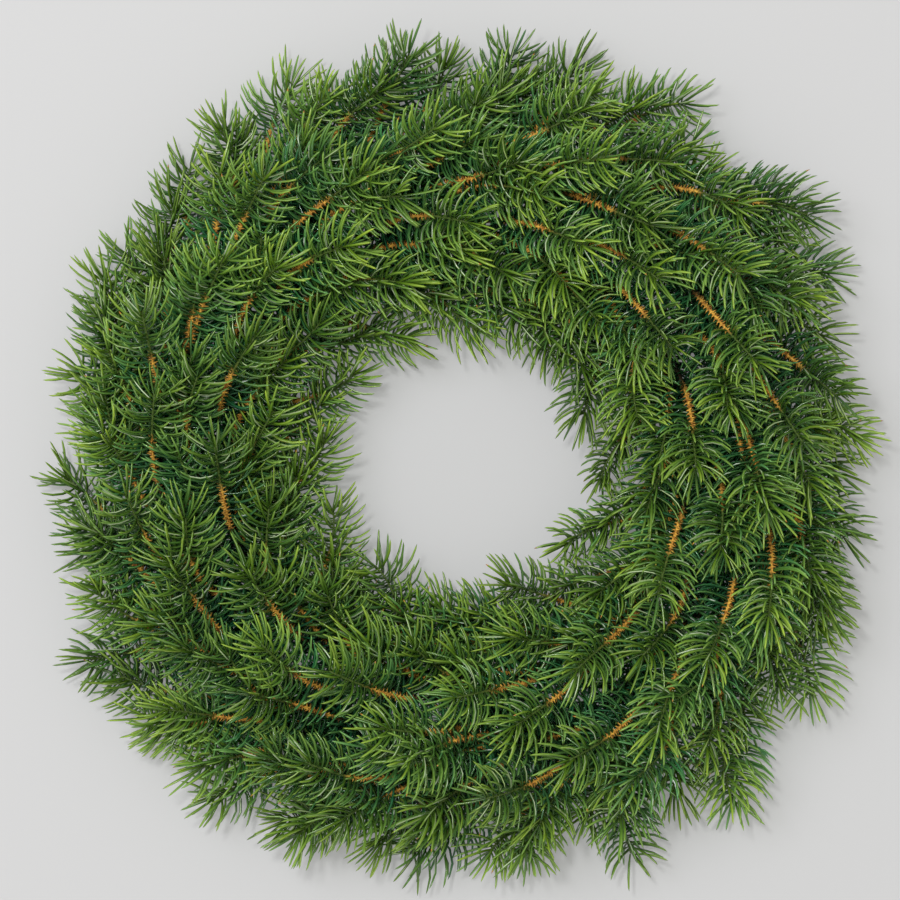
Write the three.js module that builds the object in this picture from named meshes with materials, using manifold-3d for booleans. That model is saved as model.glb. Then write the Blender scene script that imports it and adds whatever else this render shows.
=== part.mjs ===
// A fresh evergreen wreath: cut spruce sprays bound clockwise onto a wire ring.
// Millimetres, +Z up. The wreath lies on its back, and its front faces up.
import * as THREE from 'three';
import { mergeVertices } from 'three/addons/utils/BufferGeometryUtils.js';
import Module from 'manifold-3d';

const wasm = await Module();
wasm.setup();

// The wire ring: two rails welded onto crossbars, which it rests on
const outerRailRadius = 165;
const innerRailRadius = 135;
const railWireRadius = 1.6;
const railSides = 6;
const railSegments = 28;
const crossbarCount = 8;
const crossbarSize = 3;
const crossbarOverhang = 4;
const weldDepth = 0.2;

// The sprays: one outer and one inner at each station, bound to the rail below
const stationCount = 24;
const stemRadius = 1.8;
const stemSides = 4;
const stemSteps = 4;
const twigRadius = 1.6;
const twigSides = 3;
const twigSteps = 3;
const seatGap = 0.3;
const handleShare = 0.42;

// Where the twigs of each row end: radius and height in the wreath, degrees clockwise of the
// butt, degrees turned out of the clockwise direction, and degrees of rise. branchAt is the share
// of the main stem at which a side twig leaves it, and branchTurn how far it turns out there.
const rows = {
  crown: { radius: 189, stagger: 9, height: 88, advance: 41, outward: 20, rise: 22 },
  shoulder: {
    radius: 216, stagger: 5, height: 58, advance: 34, outward: 36, rise: 15,
    branchAt: 0.14, branchTurn: 24,
  },
  edge: {
    radius: 233, stagger: -4, height: 26, advance: 27, outward: 54, rise: 3,
    branchAt: 0.08, branchTurn: 42,
  },
  innerCrown: { radius: 150, stagger: -9, height: 88, advance: 48, outward: 3, rise: 20 },
  throat: {
    radius: 116, stagger: 5, height: 62, advance: 46, outward: -10, rise: 10,
    branchAt: 0.14, branchTurn: -16,
  },
  lip: {
    radius: 87, stagger: 5, height: 32, advance: 40, outward: -17, rise: 4,
    branchAt: 0.08, branchTurn: -28,
  },
};
// How far each of these may stray from its row, either way
const wander = { radius: 5, height: 4, advance: 1.6, outward: 19, rise: 10 };

// Needles: three-sided, sunk to the middle of their twig, and combed forward
const needleLength = 20;
const needleRadius = 0.75;
const needleSides = 3;
const needlesPerTwig = 6;
const needledLength = 42;
const sideLean = 58;
const tipLean = 16;
const goldenTurn = 137.508;
const needleTurns = [0, 24, -24, 48, -48, 72, -72];
const clearance = 0.3;
const groundClearance = 1.5;

// The binding wire: one turn round the ring and both stems at each station
const bindingRadius = 0.5;
const bindingSides = 3;
const bindingStart = 1.3;
const bindingPoints = [
  { radius: 131.5, height: 10.6, share: 0 },
  { radius: 168.4, height: 11.5, share: 0.1 },
  { radius: 169.6, height: 5, share: 0.18 },
  { radius: 166.5, height: 1.7, share: 0.3 },
  { radius: 133.5, height: 1.7, share: 0.66 },
  { radius: 130, height: 5, share: 0.82 },
];

const radians = THREE.MathUtils.degToRad;
const stationTurn = 360 / stationCount;
const railApothem = railWireRadius * Math.cos(Math.PI / railSides);
const railHeight = crossbarSize + railApothem - weldDepth;
const stemApothem = stemRadius * Math.cos(Math.PI / stemSides);
const stemHeight = railHeight + railApothem + seatGap + stemApothem;

// A repeatable draw from -1 to 1 for one property of one twig
function draw(station, row, property) {
  const wave = Math.sin(station * 12.9898 + row * 78.233 + property * 37.719) * 43758.5453;
  return (wave - Math.floor(wave)) * 2 - 1;
}

// A point by its angle from +X, radius and height
function polar(angle, radius, height) {
  return new THREE.Vector3(
    Math.cos(radians(angle)) * radius,
    Math.sin(radians(angle)) * radius,
    height,
  );
}

// The clockwise direction at an angle, turned outward and raised
function heading(angle, outward, rise) {
  const flat = radians(angle - 90 + outward);
  return new THREE.Vector3(
    Math.cos(flat) * Math.cos(radians(rise)),
    Math.sin(flat) * Math.cos(radians(rise)),
    Math.sin(radians(rise)),
  );
}

// A smooth stem between two points that leaves and arrives along the given directions
function stemCurve(start, leaving, end, arriving) {
  const handle = start.distanceTo(end) * handleShare;
  return new THREE.CubicBezierCurve3(
    start,
    start.clone().addScaledVector(leaving, handle),
    end.clone().addScaledVector(arriving, -handle),
    end,
  );
}

// The centreline of one twig. A main stem starts on its rail, a side twig on its main stem.
function twigCurve(station, rowName, main, railRadius) {
  const row = rows[rowName];
  const rowIndex = Object.keys(rows).indexOf(rowName);
  const vary = (property, index) => wander[property] * draw(station, rowIndex, index);
  const butt = 90 - station * stationTurn;
  const side = station % 2 === 0 ? -1 : 1;
  const angle = butt - row.advance - vary('advance', 1);
  const radius = row.radius + side * row.stagger + vary('radius', 2);
  const end = polar(angle, radius, row.height + vary('height', 3));
  const arriving = heading(angle, row.outward + vary('outward', 4), row.rise + vary('rise', 5));
  if (!main) {
    return stemCurve(polar(butt, railRadius, stemHeight), heading(butt, 0, 0), end, arriving);
  }
  const leaving = main.getTangent(row.branchAt);
  leaving.applyAxisAngle(new THREE.Vector3(0, 0, 1), radians(row.branchTurn));
  return stemCurve(main.getPoint(row.branchAt), leaving, end, arriving);
}

// The closed solid of a three.js geometry
function solidOf(geometry) {
  geometry.deleteAttribute('normal');
  geometry.deleteAttribute('uv');
  const merged = mergeVertices(geometry);
  return new wasm.Manifold(new wasm.Mesh({
    numProp: 3,
    vertProperties: new Float32Array(merged.attributes.position.array),
    triVerts: new Uint32Array(merged.index.array),
  }));
}

// All the solids joined into one
function fuse(solids) {
  return solids.reduce((whole, solid) => whole.add(solid));
}

// A regular outline of a stem or wire
function ringShape(radius, sides) {
  const corners = Array.from({ length: sides }, (_, i) => {
    const turn = ((i + 0.5) / sides) * Math.PI * 2;
    return new THREE.Vector2(Math.cos(turn) * radius, Math.sin(turn) * radius);
  });
  return new THREE.Shape(corners);
}

function tube(curve, radius, sides, steps) {
  return new THREE.ExtrudeGeometry(ringShape(radius, sides), { extrudePath: curve, steps });
}

// Line segments with a thickness, used to keep the pieces clear of each other
function capsule(owner, start, end, radius) {
  return {
    owner,
    line: new THREE.Line3(start, end),
    middle: start.clone().lerp(end, 0.5),
    reach: start.distanceTo(end) / 2 + radius,
    radius,
  };
}

function capsulesAlong(owner, points, radius) {
  return points.slice(1).map((point, i) => capsule(owner, points[i], point, radius));
}

function isClear(candidate, others) {
  return others.every((other) => {
    if (other.owner === candidate.owner) {
      return true;
    }
    const near = candidate.reach + other.reach + clearance;
    if (candidate.middle.distanceToSquared(other.middle) > near * near) {
      return true;
    }
    const gap = candidate.radius + other.radius + clearance;
    return candidate.line.distanceSqToLine3(other.line) > gap * gap;
  });
}

// The path of the binding wire: straight runs between the points of each turn
class BindingPath extends THREE.Curve {
  constructor(points) {
    super();
    this.points = points;
  }

  getPoint(t) {
    const place = t * (this.points.length - 1);
    const index = Math.min(Math.floor(place), this.points.length - 2);
    return this.points[index].clone().lerp(this.points[index + 1], place - index);
  }

  getUtoTmapping(u) {
    return u;
  }
}

function bindingRoute() {
  const route = [];
  for (let station = 0; station < stationCount; station += 1) {
    for (const point of bindingPoints) {
      const angle = 90 - bindingStart - (station + point.share) * stationTurn;
      route.push(polar(angle, point.radius, point.height));
    }
  }
  return route;
}

function rail(radius) {
  const profile = Array.from({ length: railSides + 1 }, (_, i) => {
    const turn = ((i % railSides) / railSides) * Math.PI * 2;
    return new THREE.Vector2(
      radius + Math.cos(turn) * railWireRadius,
      Math.sin(turn) * railWireRadius,
    );
  });
  const ring = new THREE.LatheGeometry(profile, railSegments);
  ring.rotateX(Math.PI / 2);
  ring.translate(0, 0, railHeight);
  return ring;
}

// A crossbar below both rails, under the middle of a turn of the binding wire
function crossbar(index) {
  const length = outerRailRadius - innerRailRadius + 2 * crossbarOverhang;
  const share = (bindingPoints[0].share + bindingPoints[1].share) / 2;
  const station = (index * stationCount) / crossbarCount + share;
  const bar = new THREE.BoxGeometry(length, crossbarSize, crossbarSize);
  bar.translate((outerRailRadius + innerRailRadius) / 2, 0, crossbarSize / 2);
  bar.rotateZ(radians(90 - bindingStart - station * stationTurn));
  return bar;
}

// A needle's foot, direction, tip and capsule. Feet step back from the twig's end along its
// straight runs and round it, and lean further forward the nearer they are to the end.
function needleAt(owner, points, index, turn) {
  const share = (index + 0.5) / needlesPerTwig;
  const run = points[0].distanceTo(points[1]);
  const back = (needledLength * (1 - share) + needleRadius) / run;
  const next = points.length - 1 - Math.floor(back);
  const along = points[next].clone().sub(points[next - 1]).normalize();
  const foot = points[next].clone().addScaledVector(along, -(back % 1) * run);
  const across = new THREE.Vector3(0, 0, 1).cross(along).normalize();
  across.applyAxisAngle(along, radians(index * goldenTurn + turn));
  const lean = THREE.MathUtils.lerp(sideLean, tipLean, share * share);
  const direction = along.clone().multiplyScalar(Math.cos(radians(lean)));
  direction.addScaledVector(across, Math.sin(radians(lean)));
  const tip = foot.clone().addScaledVector(direction, needleLength);
  return { foot, direction, tip, body: capsule(owner, foot, tip, needleRadius) };
}

function needleSolid(needle) {
  const cone = new THREE.ConeGeometry(needleRadius, needleLength, needleSides, 1);
  cone.translate(0, needleLength / 2, 0);
  const up = new THREE.Vector3(0, 1, 0);
  cone.applyQuaternion(new THREE.Quaternion().setFromUnitVectors(up, needle.direction));
  cone.translate(needle.foot.x, needle.foot.y, needle.foot.z);
  return solidOf(cone);
}

function namedMesh(name, solid, colour, roughness, metalness) {
  const { vertProperties, triVerts } = solid.getMesh();
  const geometry = new THREE.BufferGeometry();
  geometry.setAttribute('position', new THREE.BufferAttribute(vertProperties, 3));
  geometry.setIndex(new THREE.BufferAttribute(triVerts, 1));
  const material = new THREE.MeshStandardMaterial({
    color: colour,
    roughness,
    metalness,
    flatShading: true,
  });
  const mesh = new THREE.Mesh(geometry, material);
  mesh.name = name;
  return mesh;
}

// A spray: its main stem and the side twigs that leave it
function sprayOf(kind, station) {
  const twoDigits = String(station + 1).padStart(2, '0');
  const name = `${kind}_spray_${twoDigits}`;
  const isOuter = kind === 'outer';
  const railRadius = isOuter ? outerRailRadius : innerRailRadius;
  const mainRow = isOuter ? 'crown' : 'innerCrown';
  const sideRows = isOuter ? ['shoulder', 'edge'] : ['throat', 'lip'];
  const main = twigCurve(station, mainRow, null, railRadius);
  const twigs = sideRows.map((row) => twigCurve(station, row, main, railRadius));
  return { name, main, twigs };
}

const sprays = [];
for (let station = 0; station < stationCount; station += 1) {
  sprays.push(sprayOf('outer', station));
  sprays.push(sprayOf('inner', station));
}

const route = bindingRoute();
const taken = capsulesAlong('binding_wire', route, bindingRadius);
for (const { name, main, twigs } of sprays) {
  taken.push(...capsulesAlong(name, main.getSpacedPoints(stemSteps), stemRadius));
  for (const twig of twigs) {
    taken.push(...capsulesAlong(name, twig.getSpacedPoints(twigSteps), twigRadius));
  }
}
for (const radius of [outerRailRadius, innerRailRadius]) {
  const corners = Array.from({ length: railSegments + 1 }, (_, i) => (
    polar((i * 360) / railSegments, radius, railHeight)
  ));
  taken.push(...capsulesAlong('wire_ring', corners, railWireRadius));
}

// The needles of one twig. One that would cross another piece is bent round its twig until it
// is clear, and left out where no turn is.
function growNeedles(owner, points) {
  const grown = [];
  for (let index = 0; index < needlesPerTwig; index += 1) {
    for (const turn of needleTurns) {
      const needle = needleAt(owner, points, index, turn);
      if (needle.tip.z > groundClearance && isClear(needle.body, taken)) {
        taken.push(needle.body);
        grown.push(needle);
        break;
      }
    }
  }
  return grown;
}

function buildSpray(spray) {
  const needles = [
    ...growNeedles(spray.name, spray.main.getSpacedPoints(stemSteps)),
    ...spray.twigs.flatMap((twig) => growNeedles(spray.name, twig.getSpacedPoints(twigSteps))),
  ];
  const stem = solidOf(tube(spray.main, stemRadius, stemSides, stemSteps));
  const twigs = spray.twigs.map((twig) => solidOf(tube(twig, twigRadius, twigSides, twigSteps)));
  const solid = fuse([stem, ...twigs, ...needles.map(needleSolid)]);
  return namedMesh(spray.name, solid, 0x3f7d34, 0.6, 0);
}

function buildWireRing() {
  const bars = Array.from({ length: crossbarCount }, (_, i) => solidOf(crossbar(i)));
  const rails = [rail(outerRailRadius), rail(innerRailRadius)].map(solidOf);
  return namedMesh('wire_ring', fuse([...rails, ...bars]), 0x2f4a35, 0.45, 0.6);
}

function buildBindingWire() {
  const path = new BindingPath(route);
  const wire = solidOf(tube(path, bindingRadius, bindingSides, route.length - 1));
  return namedMesh('binding_wire', wire, 0x33523a, 0.5, 0.5);
}

const wreath = new THREE.Group();
wreath.add(buildWireRing());
wreath.add(buildBindingWire());
sprays.forEach((spray) => wreath.add(buildSpray(spray)));

// The origin is under the middle of the whole wreath, on the ground
const box = new THREE.Box3().setFromObject(wreath);
const middle = box.getCenter(new THREE.Vector3());
wreath.position.set(-middle.x, -middle.y, -box.min.z);

const group = new THREE.Group();
group.add(wreath);

export default group;
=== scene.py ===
# Fresh evergreen wreath: dense spruce sprays bound onto the wire ring of the CAD frame
import math
import bpy
import numpy as np
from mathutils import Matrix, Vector


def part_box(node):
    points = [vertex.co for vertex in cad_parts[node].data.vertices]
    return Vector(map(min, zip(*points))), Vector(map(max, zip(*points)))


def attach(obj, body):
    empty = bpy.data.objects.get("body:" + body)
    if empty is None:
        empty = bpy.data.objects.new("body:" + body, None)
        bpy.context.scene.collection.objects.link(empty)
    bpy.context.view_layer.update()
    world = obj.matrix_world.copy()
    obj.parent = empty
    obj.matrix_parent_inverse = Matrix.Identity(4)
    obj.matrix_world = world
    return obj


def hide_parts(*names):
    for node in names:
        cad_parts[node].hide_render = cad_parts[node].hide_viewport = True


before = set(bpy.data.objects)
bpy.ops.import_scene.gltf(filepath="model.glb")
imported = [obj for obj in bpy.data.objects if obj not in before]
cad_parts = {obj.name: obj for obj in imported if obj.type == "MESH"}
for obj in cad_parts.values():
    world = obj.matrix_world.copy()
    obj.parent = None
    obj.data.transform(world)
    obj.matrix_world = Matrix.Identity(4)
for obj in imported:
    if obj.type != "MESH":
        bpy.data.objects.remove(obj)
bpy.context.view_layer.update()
print("frame loaded:", len(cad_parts), "nodes")

# The wreath's own axis runs through the middle of its wire ring
ringLow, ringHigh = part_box("wire_ring")
axisPoint = np.array([(ringLow.x + ringHigh.x) / 2, (ringLow.y + ringHigh.y) / 2, 0.0])
upwards = np.array([0.0, 0.0, 1.0])
goldenTurn = math.radians(137.508)

# Placement: the same rule as the CAD sprays, in metres and degrees. The wander is how far a twig
# may stray from its row, either way.
placement = {
    "stations": 24,
    "rails": {"outer": 0.165, "inner": 0.135},
    "stemHeight": 0.007145,
    "handleShare": 0.42,
    "wander": {"radius": 0.005, "height": 0.004, "advance": 1.6, "outward": 19, "rise": 10},
    "fillWander": {"radius": 0.007, "height": 0.006, "advance": 3, "outward": 34, "rise": 12},
}

# Rows 0 to 5 are in the CAD source too, and the rest fill in between and below them
lastSourceRow = 5
rows = {
    "crown": {"index": 0, "radius": 0.189, "stagger": 0.009, "height": 0.088,
              "advance": 41, "outward": 20, "rise": 22},
    "shoulder": {"index": 1, "radius": 0.216, "stagger": 0.005, "height": 0.058,
                 "advance": 34, "outward": 36, "rise": 15, "branchAt": 0.14, "branchTurn": 24},
    "edge": {"index": 2, "radius": 0.233, "stagger": -0.004, "height": 0.026,
             "advance": 27, "outward": 54, "rise": 3, "branchAt": 0.08, "branchTurn": 42},
    "innerCrown": {"index": 3, "radius": 0.150, "stagger": -0.009, "height": 0.088,
                   "advance": 48, "outward": 3, "rise": 20},
    "throat": {"index": 4, "radius": 0.116, "stagger": 0.005, "height": 0.062,
               "advance": 46, "outward": -10, "rise": 10, "branchAt": 0.14, "branchTurn": -16},
    "lip": {"index": 5, "radius": 0.087, "stagger": 0.005, "height": 0.032,
            "advance": 40, "outward": -17, "rise": 4, "branchAt": 0.08, "branchTurn": -28},
    "outerFill": {"index": 6, "radius": 0.225, "stagger": -0.006, "height": 0.042,
                  "advance": 23, "outward": 44, "rise": 8, "branchAt": 0.05, "branchTurn": 36},
    "middleFill": {"index": 7, "radius": 0.174, "stagger": -0.008, "height": 0.078,
                   "advance": 34, "outward": 14, "rise": 16, "branchAt": 0.12, "branchTurn": 8},
    "skirtFill": {"index": 8, "radius": 0.234, "stagger": 0.004, "height": 0.020,
                  "advance": 19.5, "outward": 58, "rise": 2, "branchAt": 0.04, "branchTurn": 48},
    "innerFill": {"index": 9, "radius": 0.117, "stagger": -0.006, "height": 0.030,
                  "advance": 32, "outward": -14, "rise": 6, "branchAt": 0.06, "branchTurn": -20},
    "lowFill": {"index": 10, "radius": 0.160, "stagger": 0.010, "height": 0.040,
                "advance": 27, "outward": 0, "rise": 8, "branchAt": 0.08, "branchTurn": 6},
}

# How far the twigs that fill in stray from a circle, at equal steps round from +X
fillDrift = {
    "outer": (-0.016, 0.016, 0.006, 0.009, 0.008, 0.001,
              -0.015, 0.014, 0.016, -0.012, 0.025, 0.017),
    "inner": (0.023, -0.009, -0.016, -0.016, 0.011, 0.017,
              -0.003, 0.001, -0.006, -0.027, 0.016, 0.020),
}


def draw(station, row, prop):
    # The fraction of a large sine, from -1 to 1: the same draw as in the CAD source
    wave = math.sin(station * 12.9898 + row * 78.233 + prop * 37.719) * 43758.5453
    return (wave - math.floor(wave)) * 2 - 1


def polar(angle, radius, height):
    # The radius times the cosine and the sine of the angle, with the height as it is
    turn = math.radians(angle)
    return np.array([math.cos(turn) * radius, math.sin(turn) * radius, height])


def heading(angle, outward, rise):
    # One unit clockwise round the axis, turned outward in the level and then lifted by the rise
    flat = math.radians(angle - 90 + outward)
    lift = math.radians(rise)
    level = math.cos(lift)
    return np.array([math.cos(flat) * level, math.sin(flat) * level, math.sin(lift)])


def driftAt(drift, angle):
    # Straight between the two nearest values, which stand at equal steps round from +X
    place = angle % 360 / 360 * len(drift)
    index = int(place)
    return drift[index] + (drift[(index + 1) % len(drift)] - drift[index]) * (place - index)


def unit(vectors):
    # Each vector over its own length
    return vectors / np.linalg.norm(vectors, axis=-1, keepdims=True)


def turned(vector, degrees):
    # Turned about the upright axis by the cosine and the sine of the angle
    cosine, sine = math.cos(math.radians(degrees)), math.sin(math.radians(degrees))
    x, y, z = vector
    return np.array([x * cosine - y * sine, x * sine + y * cosine, z])


def sideways(along, turns):
    # Square to the way along: its level side times the cosine of the turn plus its upper side
    # times the sine
    level = unit(np.cross(upwards, along))
    upright = np.cross(along, level)
    return level * np.cos(turns)[..., None] + upright * np.sin(turns)[..., None]


def stemControls(start, leaving, end, arriving):
    # Both ends, and between them one handle from each, a fixed share of their distance long
    handle = np.linalg.norm(end - start) * placement["handleShare"]
    return np.array([start, start + leaving * handle, end - arriving * handle, end])


def bezierPoint(controls, t):
    # Cubic Bezier: the four controls weighted by the Bernstein polynomials
    t = np.asarray(t, float)[..., None]
    a, b, c, d = controls
    return a * (1 - t) ** 3 + b * 3 * t * (1 - t) ** 2 + c * 3 * t ** 2 * (1 - t) + d * t ** 3


def bezierTangent(controls, t):
    # The three steps between the controls weighted by the quadratic Bernstein polynomials
    t = np.asarray(t, float)[..., None]
    a, b, c, d = controls
    return unit((b - a) * (1 - t) ** 2 + (c - b) * 2 * t * (1 - t) + (d - c) * t ** 2)


def isFillRow(rowName):
    # Whether only this script has the row, and not the CAD source
    return rows[rowName]["index"] > lastSourceRow


def twigControls(kind, station, rowName, main):
    # From the butt on the rail, or from a place on the main stem, to the row's own radius, height
    # and direction, each with its drawn share of the wander
    row = rows[rowName]
    wander = placement["fillWander" if isFillRow(rowName) else "wander"]
    butt = 90 - station * 360 / placement["stations"]
    side = -1 if station % 2 == 0 else 1
    advanceDraw, radiusDraw, heightDraw, outwardDraw, riseDraw = (
        draw(station, row["index"], prop) for prop in range(1, 6))
    angle = butt - row["advance"] - wander["advance"] * advanceDraw
    radius = row["radius"] + side * row["stagger"] + wander["radius"] * radiusDraw
    if isFillRow(rowName):
        radius += driftAt(fillDrift[kind], angle)
    end = polar(angle, radius, row["height"] + wander["height"] * heightDraw)
    arriving = heading(angle, row["outward"] + wander["outward"] * outwardDraw,
                       row["rise"] + wander["rise"] * riseDraw)
    if main is None:
        start = polar(butt, placement["rails"][kind], placement["stemHeight"])
        return stemControls(start, heading(butt, 0, 0), end, arriving)
    leaving = turned(bezierTangent(main, row["branchAt"]), row["branchTurn"])
    return stemControls(bezierPoint(main, row["branchAt"]), leaving, end, arriving)


class Centreline:
    # A Bezier curve measured along its length: straight pieces between close samples
    def __init__(self, controls, samples=160):
        t = np.linspace(0, 1, samples)
        self.points = bezierPoint(controls, t)
        self.tangents = bezierTangent(controls, t)
        steps = np.linalg.norm(np.diff(self.points, axis=0), axis=1)
        self.lengths = np.concatenate([[0], np.cumsum(steps)])
        self.length = self.lengths[-1]

    def at(self, distance):
        # The point and the direction at a distance from the start
        points, tangents = (
            np.stack([np.interp(distance, self.lengths, track[:, axis]) for axis in range(3)], -1)
            for track in (self.points, self.tangents))
        return points, unit(tangents)


# The values that every vertex carries for the materials
valueNames = ("along", "age", "tint", "rib")


class MeshParts:
    # Gathers vertices, faces, a material index for each face and four values for each vertex
    def __init__(self):
        self.vertices, self.faces, self.slots, self.values = [], [], [], []
        self.count = 0

    def add(self, vertices, faces, slot, values):
        # faces is a list of index arrays, one for triangles and one for quads
        self.vertices.append(vertices)
        self.values.append(values)
        for block in faces:
            self.faces.append(block + self.count)
            self.slots.append(np.full(len(block), slot))
        self.count += len(vertices)

    def triangleCount(self):
        # A triangle counts once and a quad twice
        return sum(len(block) * (block.shape[1] - 2) for block in self.faces)

    def build(self, name, materials):
        # Everything that was added, as one smooth mesh at the origin
        mesh = bpy.data.meshes.new(name)
        vertices = np.concatenate(self.vertices)
        totals = np.concatenate([np.full(len(block), block.shape[1]) for block in self.faces])
        corners = np.concatenate([block.ravel() for block in self.faces])
        starts = np.concatenate([[0], np.cumsum(totals)[:-1]])
        mesh.vertices.add(len(vertices))
        mesh.vertices.foreach_set("co", vertices.ravel())
        mesh.loops.add(len(corners))
        mesh.loops.foreach_set("vertex_index", corners)
        mesh.polygons.add(len(totals))
        mesh.polygons.foreach_set("loop_start", starts)
        mesh.polygons.foreach_set("loop_total", totals)
        mesh.polygons.foreach_set("material_index", np.concatenate(self.slots))
        mesh.update(calc_edges=True)
        values = np.ascontiguousarray(np.concatenate(self.values).T, dtype=np.float32)
        for valueName, column in zip(valueNames, values):
            mesh.attributes.new(valueName, "FLOAT", "POINT").data.foreach_set("value", column)
        mesh.shade_smooth()
        for material in materials:
            mesh.materials.append(material)
        obj = bpy.data.objects.new(name, mesh)
        bpy.context.collection.objects.link(obj)
        return obj


def tubeQuads(ringCount, sides):
    # Two neighbours on one ring and the same two on the next, all the way round and along
    here = np.arange(sides)
    after = (here + 1) % sides
    ring = np.arange(ringCount - 1)[:, None] * sides
    quads = [ring + here, ring + after, ring + sides + after, ring + sides + here]
    return np.stack(quads, -1).reshape(-1, 4)


# Needles. Lengths are in metres and angles in degrees: leans are from the way along the twig, and
# parted turns are from its top. The fan is the last few needles, which stand round the twig's end.

needleForm = {
    "length": 0.0290,
    "lengthSpan": (0.88, 1.06),
    "shortest": 0.5,
    "radius": 0.00088,
    "sides": 3,
    "fineRings": (0.0, 0.18, 0.42, 0.68, 0.91),
    "fineGirths": (0.6, 0.94, 1.0, 0.96, 0.68),
    "rings": (0.0, 0.3, 0.64, 0.91),
    "girths": (0.6, 0.98, 1.0, 0.68),
    "dashRing": 2,
    "freshPerMetre": 1800,
    "orangePerMetre": 1020,
    "olderPerMetre": 800,
    "freshParted": (0, 10),
    "partedTurns": (40, 62),
    "endGap": 0.0002,
    "footDepth": 0.5,
    "footScatter": 0.0004,
    "turnScatter": 0.05,
    "rootLean": 100,
    "rootClose": 24,
    "rootPress": 38,
    "rootScatter": 4.5,
    "endLean": 35,
    "endClose": 9,
    "endPress": 14,
    "endScatter": 5.5,
    "sideScatter": 0.10,
    "closeLength": 0.020,
    "closePower": 1.4,
    "fanZone": 0.012,
    "fanTurn": 66,
    "fanShrink": 0.2,
    "fanEnds": (20, 36),
    # painted shade: needles on the twig's underside are aged, so darker and bluer
    "underShade": 0.32,
    "ageScatter": 0.08,
    "twigTint": 1.02,
    "needleTint": 0.22,
    "floorGap": 0.0012,
    "ceiling": 0.1085,
    "leastRise": 0.001,
}


def needleMesh(feet, rootWay, endWay, lengths, across, spins, ages, tints, isFine):
    # Each needle is a thin tube on a parabola, foot + L * (root * (s - s*s/2) + end * s*s/2). It is
    # closed to a point at its tip and open at its foot, inside its twig.
    form = needleForm
    count, sides = len(feet), form["sides"]
    places = np.array(form["fineRings" if isFine else "rings"])
    girths = np.array(form["fineGirths" if isFine else "girths"])
    ringCount = len(places)
    perNeedle = ringCount * sides + 1
    s = places[None, :, None]
    rootPart = rootWay[:, None, :] * (s - s * s / 2)
    endPart = endWay[:, None, :] * s * s / 2
    centre = feet[:, None, :] + lengths[:, None, None] * (rootPart + endPart)
    apex = feet + lengths[:, None] * (rootWay + endWay) / 2
    for track in (centre, apex):
        track[..., 2] = np.maximum(track[..., 2], form["floorGap"])  # it lies along the ground
    way = unit(rootWay[:, None, :] * (1 - s) + endWay[:, None, :] * s)
    sideA = np.repeat(across[:, None, :], ringCount, axis=1)
    sideB = unit(np.cross(way, sideA))
    turns = np.arange(sides)[None, :] / sides * 2 * math.pi + spins[:, None]
    turns = turns[:, None, :, None]
    ring = sideA[:, :, None, :] * np.cos(turns) + sideB[:, :, None, :] * np.sin(turns)
    rings = centre[:, :, None, :] + ring * (girths[None, :, None, None] * form["radius"])
    vertices = np.concatenate([rings.reshape(count, -1, 3), apex[:, None, :]], axis=1)
    values = np.zeros((count, perNeedle, 4))
    values[:, :-1, 0] = np.repeat(places, sides)[None, :]
    values[:, -1, 0] = 1
    values[:, :, 1] = ages[:, None]
    values[:, :, 2] = tints[:, None]
    # One corner of the section carries the pale line: a painted highlight on the young needles, and
    # a short dash on the older ones that is partly a pale stripe and partly a painted glint
    for index in range(1, ringCount - 1):
        values[:, index * sides, 3] = 1 if index == form["dashRing"] else ages < 0.5
    here = np.arange(sides) + (ringCount - 1) * sides
    points = np.stack([here, np.roll(here, -1), np.full(sides, ringCount * sides)], -1)
    base = (np.arange(count) * perNeedle)[:, None, None]
    faces = [(tubeQuads(ringCount, sides)[None] + base).reshape(-1, 4),
             (points[None] + base).reshape(-1, 3)]
    return vertices.reshape(-1, 3), faces, values.reshape(-1, 4)


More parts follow.
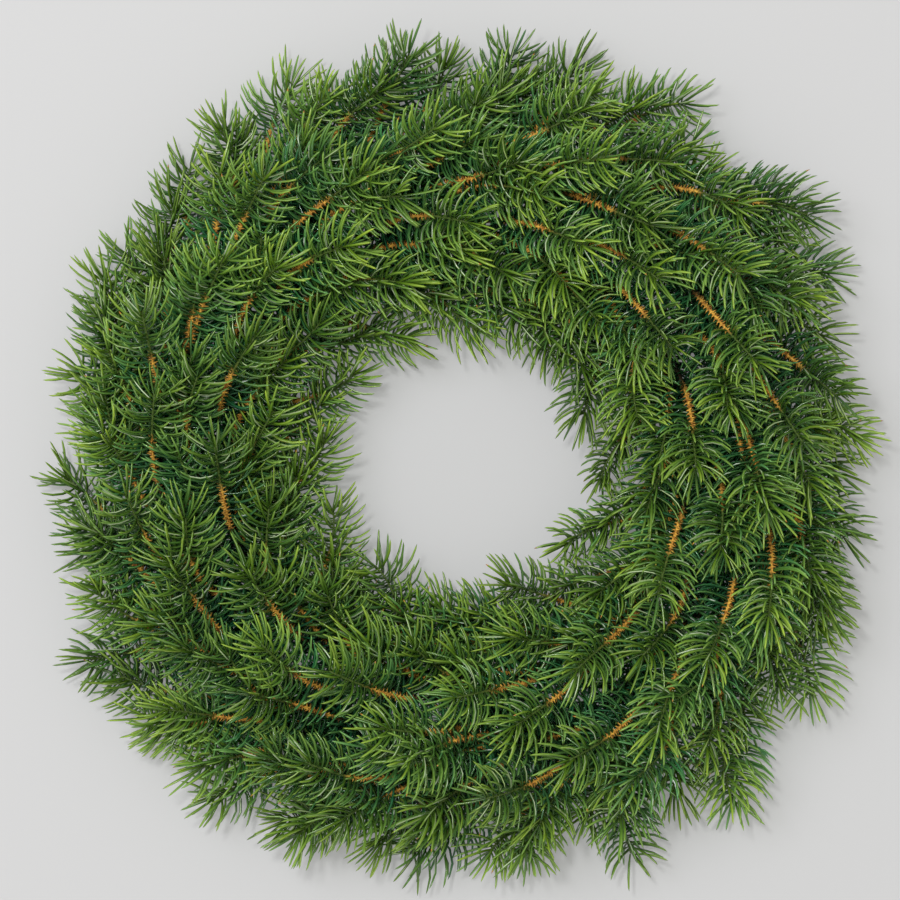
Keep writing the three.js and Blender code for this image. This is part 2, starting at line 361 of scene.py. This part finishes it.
def needlesAlong(parts, line, radius, stretch, twig, isFine, rng):
    # Needles between two distances back from the twig's end, on a golden-angle spiral. They leave
    # the twig nearly square and arch forward, those on top lie closer to it, and the last few fan
    # out round its end. The parted degrees either side of the top stay free, so the bark shows.
    form = needleForm
    first, last = stretch["first"], stretch["last"]
    count = max(2, int((last - first) * stretch["perMetre"]))
    share = (np.arange(count) + 0.5) / count
    back = first + (last - first) * share + rng.normal(0, form["footScatter"], count)
    back = np.clip(back, form["endGap"], line.length)
    points, along = line.at(line.length - back)
    scatter = form["turnScatter"]
    spiral = np.arange(count) * goldenTurn / (2 * math.pi) + rng.uniform(0, 1)
    spiral = (spiral + rng.uniform(-scatter, scatter, count)) % 1
    parted = math.radians(stretch["parted"])
    outWay = sideways(along, math.pi / 2 + parted + spiral * (2 * math.pi - 2 * parted))
    across = unit(np.cross(along, outWay))
    closing = np.clip(1 - back / form["closeLength"], 0, 1) ** form["closePower"]
    inFan = np.clip(1 - back / form["fanZone"], 0, 1)
    onTop = np.clip(outWay[:, 2], 0, 1) ** 2
    inwards = rng.uniform(0, 1, count) * inFan
    rootLean = form["rootLean"] + twig["lean"] - form["rootClose"] * closing
    rootLean -= form["rootPress"] * onTop * (1 - inFan) + form["fanTurn"] * inwards
    rootLean = np.radians(rootLean + rng.normal(0, form["rootScatter"], count))
    endLean = form["endLean"] + twig["lean"] - form["endClose"] * closing
    endLean += form["fanEnds"][0] * inFan - form["fanEnds"][1] * inwards - form["endPress"] * onTop
    endLean = np.radians(endLean + rng.normal(0, form["endScatter"], count))
    rootWay = along * np.cos(rootLean)[:, None] + outWay * np.sin(rootLean)[:, None]
    endWay = along * np.cos(endLean)[:, None] + outWay * np.sin(endLean)[:, None]
    endWay = unit(endWay + across * rng.normal(0, form["sideScatter"], count)[:, None])
    lengths = form["length"] * twig["reach"] * (1 - form["fanShrink"] * inFan)
    lengths *= rng.uniform(*form["lengthSpan"], count)
    feet = points + outWay * radius * form["footDepth"]
    # A needle that would rise past the ceiling is shorter
    rise = lengths * (rootWay[:, 2] + endWay[:, 2]) / 2
    room = (form["ceiling"] - feet[:, 2]) / np.maximum(rise, form["leastRise"])
    lengths *= np.where(rise > form["leastRise"], np.clip(room, form["shortest"], 1), 1)
    youngest, oldest = stretch["ages"]
    ages = youngest + (oldest - youngest) * share + rng.normal(0, form["ageScatter"], count)
    # Painted shade: needles on the underside of the twig are given older, darker ages
    ages += form["underShade"] * np.clip(-outWay[:, 2], 0, 1)  # darker in the shade of the twig
    tints = form["twigTint"] * twig["tint"] + form["needleTint"] * rng.uniform(-1, 1, count)
    spins = rng.uniform(0, 2 * math.pi, count)
    vertices, faces, values = needleMesh(feet, rootWay, endWay, lengths, across, spins,
                                         np.clip(ages, 0, 1), tints, isFine)
    parts.add(vertices, faces, 0, values)
    return count


# Bark: stems and twigs with the pegs that fallen needles leave

barkForm = {
    "stemRadius": 0.0018,
    "twigRadius": 0.0016,
    "endShare": 0.3,
    "endGap": 0.001,
    "sides": 6,
    "stepLength": 0.006,
    "fewestRings": 6,
    "greenLength": 0.029,
    "greenFade": 0.006,
    "orangeLength": 0.032,
    "orangeFade": 0.012,
    "pegLength": 0.0025,
    "pegSpan": (0.6, 1.2),
    "pegRadius": 0.00065,
    "pegLean": 0.6,
    "pegDepth": 0.6,
    "pegsPerMetre": 2200,
}


def woodiness(back):
    # 0 on this year's green shoot and 1 on the older orange wood, with a short change between
    return np.clip((back - barkForm["greenLength"]) / barkForm["greenFade"] + 0.5, 0, 1)


def darkness(back):
    # 0 up to the end of the orange stretch and 1 on the grey brown wood behind it
    past = back - barkForm["greenLength"] - barkForm["orangeLength"]
    return np.clip(past / barkForm["orangeFade"], 0, 1)


def barkTube(parts, line, radius, tint):
    # A tube along the centreline whose radius falls evenly from the foot to the end
    form = barkForm
    sides = form["sides"]
    count = max(form["fewestRings"], int(line.length / form["stepLength"]))
    distance = np.linspace(0, line.length - form["endGap"], count)
    points, along = line.at(distance)
    ring = sideways(along[:, None, :], (np.arange(sides) / sides * 2 * math.pi)[None, :])
    girth = radius * (1 - (1 - form["endShare"]) * distance / line.length)
    rings = points[:, None, :] + ring * girth[:, None, None]
    vertices = np.concatenate([rings.reshape(-1, 3), points[:1], points[-1:]])
    values = np.zeros((len(vertices), 4))
    values[:-2, 0] = np.repeat(darkness(line.length - distance), sides)
    values[:-2, 1] = np.repeat(woodiness(line.length - distance), sides)
    values[-2, :2] = 1
    values[:, 2] = tint
    here = np.arange(sides)
    after = np.roll(here, -1)
    last = (count - 1) * sides
    foot = np.stack([np.full(sides, count * sides), after, here], -1)
    end = np.stack([np.full(sides, count * sides + 1), last + here, last + after], -1)
    parts.add(vertices, [tubeQuads(count, sides), np.concatenate([foot, end])], 1, values)


def pegsAlong(parts, line, first, last, radius, rng):
    # Small three-sided cones on a golden-angle spiral, which lean forward on the bare stretch
    form = barkForm
    count = max(1, int((last - first) * form["pegsPerMetre"]))
    back = first + (last - first) * (np.arange(count) + 0.5) / count
    points, along = line.at(line.length - back)
    outWay = sideways(along, np.arange(count) * goldenTurn + rng.uniform(0, 6.28))
    across = np.cross(along, outWay)
    way = unit(along * form["pegLean"] + outWay)
    feet = points + outWay * radius * form["pegDepth"]
    corner = np.radians([0, 120, 240])[None, :, None]
    ring = across[:, None, :] * np.cos(corner) + np.cross(way, across)[:, None, :] * np.sin(corner)
    base = feet[:, None, :] + ring * form["pegRadius"]
    reach = radius * (1 - form["pegDepth"])
    reach = reach + form["pegLength"] * rng.uniform(*form["pegSpan"], count)
    tips = feet + way * reach[:, None]
    vertices = np.concatenate([base, tips[:, None, :]], axis=1).reshape(-1, 3)
    values = np.zeros((len(vertices), 4))
    values[:, 0] = np.repeat(darkness(back), 4)
    values[:, 1] = np.repeat(woodiness(back), 4)
    values[:, 2] = np.repeat(rng.uniform(0, 1, count), 4)
    one = np.array([[0, 1, 3], [1, 2, 3], [2, 0, 3]])
    faces = (one[None] + (np.arange(count) * 4)[:, None, None]).reshape(-1, 3)
    parts.add(vertices, [faces], 1, values)


# Materials, with a few short ways to make and join their nodes

def newMaterial(name):
    # A new material with its node tree and its shader
    material = bpy.data.materials.new(name)
    material.use_nodes = True
    tree = material.node_tree
    return material, tree, tree.nodes["Principled BSDF"]


def plug(tree, socket, value):
    # Links another node's output, or sets a number or a colour
    if isinstance(value, bpy.types.NodeSocket):
        tree.links.new(value, socket)
    elif isinstance(value, (int, float)):
        socket.default_value = value
    else:
        socket.default_value = (*value, 1)


def attributeValue(tree, name):
    # One of the values that each vertex carries
    node = tree.nodes.new("ShaderNodeAttribute")
    node.attribute_name = name
    return node.outputs["Fac"]


def mixColour(tree, factor, first, second):
    # The first colour at factor 0 and the second at 1
    mix = tree.nodes.new("ShaderNodeMix")
    mix.data_type = "RGBA"
    plug(tree, mix.inputs[0], factor)
    plug(tree, mix.inputs[6], first)
    plug(tree, mix.inputs[7], second)
    return mix.outputs[2]


def ramp(tree, factor, stops):
    # Straight between the colours of its stops
    node = tree.nodes.new("ShaderNodeValToRGB")
    while len(node.color_ramp.elements) < len(stops):
        node.color_ramp.elements.new(0.5)
    for element, (place, colour) in zip(node.color_ramp.elements, stops):
        element.position = place
        element.color = (*colour, 1)
    plug(tree, node.inputs[0], factor)
    return node.outputs[0]


def spread(tree, value, source, target=(0, 1)):
    # Maps one range of values straight onto another and holds its ends
    node = tree.nodes.new("ShaderNodeMapRange")
    for socketName, number in zip(("From Min", "From Max", "To Min", "To Max"), (*source, *target)):
        node.inputs[socketName].default_value = number
    plug(tree, node.inputs["Value"], value)
    return node.outputs[0]


def maths(tree, operation, first, second=0.0):
    # The named operation on one or two values
    node = tree.nodes.new("ShaderNodeMath")
    node.operation = operation
    plug(tree, node.inputs[0], first)
    plug(tree, node.inputs[1], second)
    return node.outputs[0]


def grainGroup():
    # Fine noise in object space, as a value and as a raised surface
    group = bpy.data.node_groups.new("fineGrain", "ShaderNodeTree")
    for name in ("Scale", "Depth"):
        group.interface.new_socket(name, in_out="INPUT", socket_type="NodeSocketFloat")
    group.interface.new_socket("Grain", in_out="OUTPUT", socket_type="NodeSocketFloat")
    group.interface.new_socket("Normal", in_out="OUTPUT", socket_type="NodeSocketVector")
    nodes = group.nodes
    given, made = nodes.new("NodeGroupInput"), nodes.new("NodeGroupOutput")
    noise = nodes.new("ShaderNodeTexNoise")
    noise.inputs["Detail"].default_value = 4
    place = nodes.new("ShaderNodeTexCoord").outputs["Object"]
    bump = nodes.new("ShaderNodeBump")
    bump.inputs["Strength"].default_value = 0.5
    plug(group, noise.inputs["Vector"], place)
    plug(group, noise.inputs["Scale"], given.outputs["Scale"])
    plug(group, bump.inputs["Distance"], given.outputs["Depth"])
    plug(group, bump.inputs["Height"], noise.outputs["Fac"])
    plug(group, made.inputs["Grain"], noise.outputs["Fac"])
    plug(group, made.inputs["Normal"], bump.outputs[0])
    return group


def grainNode(tree, scale, depth):
    # The shared grain with this material's own scale, and its depth in metres
    node = tree.nodes.new("ShaderNodeGroup")
    node.node_tree = fineGrain
    node.inputs["Scale"].default_value = scale
    node.inputs["Depth"].default_value = depth
    return node


# The fresh and old colours run from a needle's foot to its tip; the darker foot and lighter tip are
# partly the needle's own colour and partly painted shade near the twig and a painted highlight at
# the tip. Spans are for tints from -1 to 1, or for the grain between its edges.

needleFinish = {
    "fresh": [(0.0, (0.074, 0.148, 0.011)), (0.35, (0.114, 0.230, 0.014)),
              (1.0, (0.312, 0.462, 0.048))],
    "old": [(0.0, (0.009, 0.062, 0.022)), (0.5, (0.022, 0.154, 0.058)),
            (1.0, (0.086, 0.308, 0.110))],
    "oldFrom": 0.5,
    "dry": (0.50, 0.24, 0.035),
    "dryFrom": 0.92,
    "dryTipShare": 0.015,
    # painted highlight on young needles, and on older ones a pale stripe with a painted glint
    "youngHighlight": (0.33, 0.47, 0.09),
    "youngHighlightShare": 0.35,
    "oldStripeGlint": (0.90, 1.0, 0.92),
    "oldStripeGlintShare": 0.28,
    "lineEdges": (0.52, 0.76),
    "pickScale": 97.3,
    "hueSpan": (0.507, 0.491),
    "shadeSpan": (0.66, 1.34),
    "grainScale": 160,
    "grainEdges": (0.35, 0.65),
    "bloomSpan": (0.93, 1.07),
    "roughness": (0.22, 0.14),
}


def needleMaterial():
    finish = needleFinish
    material, tree, shader = newMaterial("spruceNeedle")
    along, age, tint, rib = [attributeValue(tree, name) for name in valueNames]
    colour = mixColour(tree, age, ramp(tree, along, finish["fresh"]),
                       ramp(tree, along, finish["old"]))
    # Darker twigs are bluer and lighter ones yellower, and the grain is their bloom
    grain = grainNode(tree, finish["grainScale"], 0)
    bloom = spread(tree, grain.outputs["Grain"], finish["grainEdges"], finish["bloomSpan"])
    shade = spread(tree, tint, (-1, 1), finish["shadeSpan"])
    hue = tree.nodes.new("ShaderNodeHueSaturation")
    plug(tree, hue.inputs["Hue"], spread(tree, tint, (-1, 1), finish["hueSpan"]))
    plug(tree, hue.inputs["Value"], maths(tree, "MULTIPLY", shade, bloom))
    plug(tree, hue.inputs["Color"], colour)
    # The pick is a chance value for each needle, from the far digits of its tint
    pick = maths(tree, "FRACT", maths(tree, "MULTIPLY", tint, finish["pickScale"]))
    isTipDry = maths(tree, "GREATER_THAN", pick, 1 - finish["dryTipShare"])
    dryPart = maths(tree, "MULTIPLY", isTipDry,
                    maths(tree, "GREATER_THAN", along, finish["dryFrom"]))
    # A pale line along one edge: a yellow green painted highlight on young needles, and on some of
    # the older ones a white dash that is partly a pale stripe and partly a painted glint
    youngHighlightShare = maths(tree, "MULTIPLY", maths(tree, "LESS_THAN", pick, finish["youngHighlightShare"]),
                       maths(tree, "LESS_THAN", age, finish["oldFrom"]))
    oldStripeGlintShare = maths(tree, "MULTIPLY", maths(tree, "LESS_THAN", pick, finish["oldStripeGlintShare"]),
                     maths(tree, "GREATER_THAN", age, finish["oldFrom"]))
    line = maths(tree, "MULTIPLY", spread(tree, rib, finish["lineEdges"]),
                 maths(tree, "ADD", youngHighlightShare, oldStripeGlintShare))
    highlightAndStripeColour = mixColour(tree, age, finish["youngHighlight"], finish["oldStripeGlint"])
    lined = mixColour(tree, line, hue.outputs[0], highlightAndStripeColour)
    plug(tree, shader.inputs["Base Color"], mixColour(tree, dryPart, lined, finish["dry"]))
    plug(tree, shader.inputs["Roughness"], spread(tree, age, (0, 1), finish["roughness"]))
    return material


barkFinish = {
    "dark": (0.34, 0.12, 0.016),
    "light": (0.95, 0.56, 0.085),
    "green": (0.070, 0.120, 0.014),
    "aged": (0.060, 0.042, 0.022),
    "patchEdges": (0.36, 0.62),
    "roughness": 0.7,
    "grainScale": 420,
    "grainDepth": 0.0004,
}


def barkMaterial():
    # Green on the shoot, patchy orange on the wood behind it, and grey brown further back
    finish = barkFinish
    material, tree, shader = newMaterial("spruceBark")
    grain = grainNode(tree, finish["grainScale"], finish["grainDepth"])
    patch = spread(tree, grain.outputs["Grain"], finish["patchEdges"])
    wood = mixColour(tree, patch, finish["dark"], finish["light"])
    shoot = mixColour(tree, attributeValue(tree, "age"), finish["green"], wood)
    aged = mixColour(tree, attributeValue(tree, "along"), shoot, finish["aged"])
    plug(tree, shader.inputs["Base Color"], aged)
    plug(tree, shader.inputs["Normal"], grain.outputs["Normal"])
    shader.inputs["Roughness"].default_value = finish["roughness"]
    return material


wireFinish = {
    "enamel": (0.016, 0.070, 0.028),
    "rubbed": (0.065, 0.120, 0.060),
    "rubbedEdges": (0.42, 0.62),
    "rust": (0.16, 0.070, 0.028),
    "rustEdges": (0.66, 0.72),
    "roughness": (0.25, 0.6),
    "roughnessEdges": (0.35, 0.7),
    "grainScale": 260,
    "grainDepth": 0.0001,
}


def wireMaterial():
    # Green enamel, rubbed paler in patches and rusty where the grain is strongest
    finish = wireFinish
    material, tree, shader = newMaterial("greenWire")
    grain = grainNode(tree, finish["grainScale"], finish["grainDepth"])
    value = grain.outputs["Grain"]
    rubbed = spread(tree, value, finish["rubbedEdges"])
    enamel = mixColour(tree, rubbed, finish["enamel"], finish["rubbed"])
    rusty = mixColour(tree, spread(tree, value, finish["rustEdges"]), enamel, finish["rust"])
    roughness = spread(tree, value, finish["roughnessEdges"], finish["roughness"])
    plug(tree, shader.inputs["Base Color"], rusty)
    plug(tree, shader.inputs["Roughness"], roughness)
    plug(tree, shader.inputs["Normal"], grain.outputs["Normal"])
    return material


fineGrain = grainGroup()
needles = needleMaterial()
bark = barkMaterial()
wire = wireMaterial()
print("finishes made: needles, bark and wire")


# Sprays. Ages run from 0 on the youngest needles to 1 on the oldest. The twigs that fill in are
# given older, darker ages as painted shade between and under the top tufts, and have fewer needles
# on their older wood.

sprayForm = {
    "rowNames": {
        "outer": ("crown", "shoulder", "edge", "outerFill", "middleFill", "skirtFill", "lowFill"),
        "inner": ("innerCrown", "throat", "lip", "innerFill"),
    },
    "seed": 1000,
    "fillOlderShare": 0.72,
    "freshLength": 0.031,
    "freshSpan": (0.88, 1.15),
    "firstNeedle": 0.0003,
    "youngAges": (0, 0.12),
    # painted shade: the filling twigs lie deeper and are given older, darker ages
    "fillShadeAges": {"outerFill": (0.05, 0.3), "middleFill": (0.25, 0.5), "skirtFill": (0.05, 0.3),
                 "innerFill": (0.2, 0.5), "lowFill": (0.5, 0.8)},
    "ageGain": 0.45,
    "orangeAges": (0.65, 0.95),
    "olderAges": (0.95, 1),
    "leanSpan": (-7, 7),
    "reachSpan": (0.92, 1.08),
    "lipShortening": 15,
    "strippedStem": 0.024,
    "strippedTwig": 0.008,
    "needleSeat": 0.7,
    "pegSeat": 0.8,
    "pegsBefore": 0.004,
    "pegsBehind": 0.006,
}


def buildSpray(kind, station):
    # A main stem and its twigs, each with bark, three stretches of needles and a row of pegs
    form = sprayForm
    rowNames = form["rowNames"][kind]
    main = twigControls(kind, station, rowNames[0], None)
    controls = [main] + [twigControls(kind, station, name, main) for name in rowNames[1:]]
    parts = MeshParts()
    rng = np.random.default_rng(form["seed"] + station * 2 + (kind == "outer"))
    needleCount = 0
    for rowName, control in zip(rowNames, controls):
        line = Centreline(control + axisPoint)
        isMain, isFill = rowName == rowNames[0], isFillRow(rowName)
        radius = barkForm["stemRadius"] if isMain else barkForm["twigRadius"]
        bare = form["strippedStem"] if isMain else form["strippedTwig"]
        barkTube(parts, line, radius, rng.uniform(0, 1))
        fresh = form["freshLength"] * rng.uniform(*form["freshSpan"])
        orange = fresh + barkForm["orangeLength"]
        older = needleForm["olderPerMetre"] * (form["fillOlderShare"] if isFill else 1)
        age = rng.uniform(*(form["fillShadeAges"][rowName] if isFill else form["youngAges"]))
        stretches = (
            {"first": form["firstNeedle"], "last": fresh, "perMetre": needleForm["freshPerMetre"],
             "parted": rng.uniform(*needleForm["freshParted"]),
             "ages": (age, age + form["ageGain"])},
            {"first": fresh, "last": orange, "perMetre": needleForm["orangePerMetre"],
             "parted": rng.uniform(*needleForm["partedTurns"]), "ages": form["orangeAges"]},
            {"first": orange, "last": line.length - bare, "perMetre": older,
             "parted": 0, "ages": form["olderAges"]},
        )
        twig = {"lean": rng.uniform(*form["leanSpan"]), "reach": rng.uniform(*form["reachSpan"]),
                "tint": rng.uniform(-1, 1)}
        if rowName == "lip":
            # Where the hole is wider, the needles that line it are shorter
            end = line.points[-1] - axisPoint
            drift = driftAt(fillDrift["inner"], math.degrees(math.atan2(end[1], end[0])))
            twig["reach"] *= 1 - form["lipShortening"] * max(0, drift)
        for stretch in stretches:
            isFine = not isFill and stretch["first"] < orange
            needleCount += needlesAlong(parts, line, radius * form["needleSeat"], stretch, twig,
                                        isFine, rng)
        pegsAlong(parts, line, fresh - form["pegsBefore"], orange + form["pegsBehind"],
                  radius * form["pegSeat"], rng)
    obj = parts.build(f"spruce_{kind}_{station + 1:02d}", [needles, bark])
    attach(obj, "root")
    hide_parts(f"{kind}_spray_{station + 1:02d}")
    return needleCount, parts.triangleCount()


needleTotal, triangleTotal = 0, 0
for station in range(placement["stations"]):
    for kind in ("outer", "inner"):
        needleCount, triangleCount = buildSpray(kind, station)
        needleTotal += needleCount
        triangleTotal += triangleCount
print("sprays built:", needleTotal, "needles,", triangleTotal, "triangles")

for nodeName in ("wire_ring", "binding_wire"):
    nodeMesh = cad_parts[nodeName].data
    nodeMesh.materials.clear()
    nodeMesh.materials.append(wire)
print("wires finished")


# Stage: a plain pale floor, soft light from the upper left, and a camera straight above. The
# floor's own faint glow keeps the shadows on it as pale as on a lit white wall.

stage = {
    "floorColour": (0.455, 0.455, 0.455),
    "floorRoughness": 0.9,
    "floorGlow": 0.175,
    "floorSize": 6.0,
    "cameraHeight": 2.4,
    "aimHeight": 0.06,
    "sensorWidth": 36,
    "viewWidth": 0.526,
    "lookAside": (-0.0056, 0.0060),
    "roomColour": (1.0, 0.99, 0.945),
    "roomLight": 0.57,
}

lights = {
    "keyLight": {"place": (-1.2, 0.75, 2.6), "size": 1.7, "power": 28, "colour": (1.0, 1.0, 1.08)},
    "frontLight": {"place": (-0.35, 0.4, 2.4), "size": 0.25, "power": 19.6,
                   "colour": (1.0, 1.0, 1.0)},
}


def buildFloor():
    # One square with its corners half its size from the middle
    mesh = bpy.data.meshes.new("floor")
    half = stage["floorSize"] / 2
    corners = [(-half, -half, 0), (half, -half, 0), (half, half, 0), (-half, half, 0)]
    mesh.from_pydata(corners, [], [(0, 1, 2, 3)])
    floor = bpy.data.objects.new("floor", mesh)
    bpy.context.collection.objects.link(floor)
    material, tree, shader = newMaterial("paleFloor")
    plug(tree, shader.inputs["Base Color"], stage["floorColour"])
    plug(tree, shader.inputs["Roughness"], stage["floorRoughness"])
    plug(tree, shader.inputs["Emission Color"], (1, 1, 1))
    plug(tree, shader.inputs["Emission Strength"], stage["floorGlow"])
    mesh.materials.append(material)


def buildLight(name, values):
    # A round area light that faces the middle of the wreath
    light = bpy.data.lights.new(name, "AREA")
    light.shape = "DISK"
    light.size = values["size"]
    light.energy = values["power"]
    light.color = values["colour"]
    obj = bpy.data.objects.new(name, light)
    obj.location = values["place"]
    obj.rotation_euler = (-Vector(values["place"])).to_track_quat("-Z", "Y").to_euler()
    bpy.context.collection.objects.link(obj)


def buildCamera():
    # The lens is the sensor's width times the distance over the width that is in view
    data = bpy.data.cameras.new("camera")
    data.sensor_width = stage["sensorWidth"]
    distance = stage["cameraHeight"] - stage["aimHeight"]
    data.lens = data.sensor_width * distance / stage["viewWidth"]
    camera = bpy.data.objects.new("camera", data)
    asideX, asideY = stage["lookAside"]
    camera.location = (axisPoint[0] + asideX, axisPoint[1] + asideY, stage["cameraHeight"])
    bpy.context.collection.objects.link(camera)
    bpy.context.scene.camera = camera


def buildRoom():
    # The same soft light from all round
    world = bpy.data.worlds.new("softRoom")
    world.use_nodes = True
    background = world.node_tree.nodes["Background"]
    plug(world.node_tree, background.inputs["Color"], stage["roomColour"])
    plug(world.node_tree, background.inputs["Strength"], stage["roomLight"])
    bpy.context.scene.world = world


buildFloor()
for lightName, lightValues in lights.items():
    buildLight(lightName, lightValues)
buildCamera()
buildRoom()
bpy.context.scene.view_settings.view_transform = "Standard"
print("stage set")
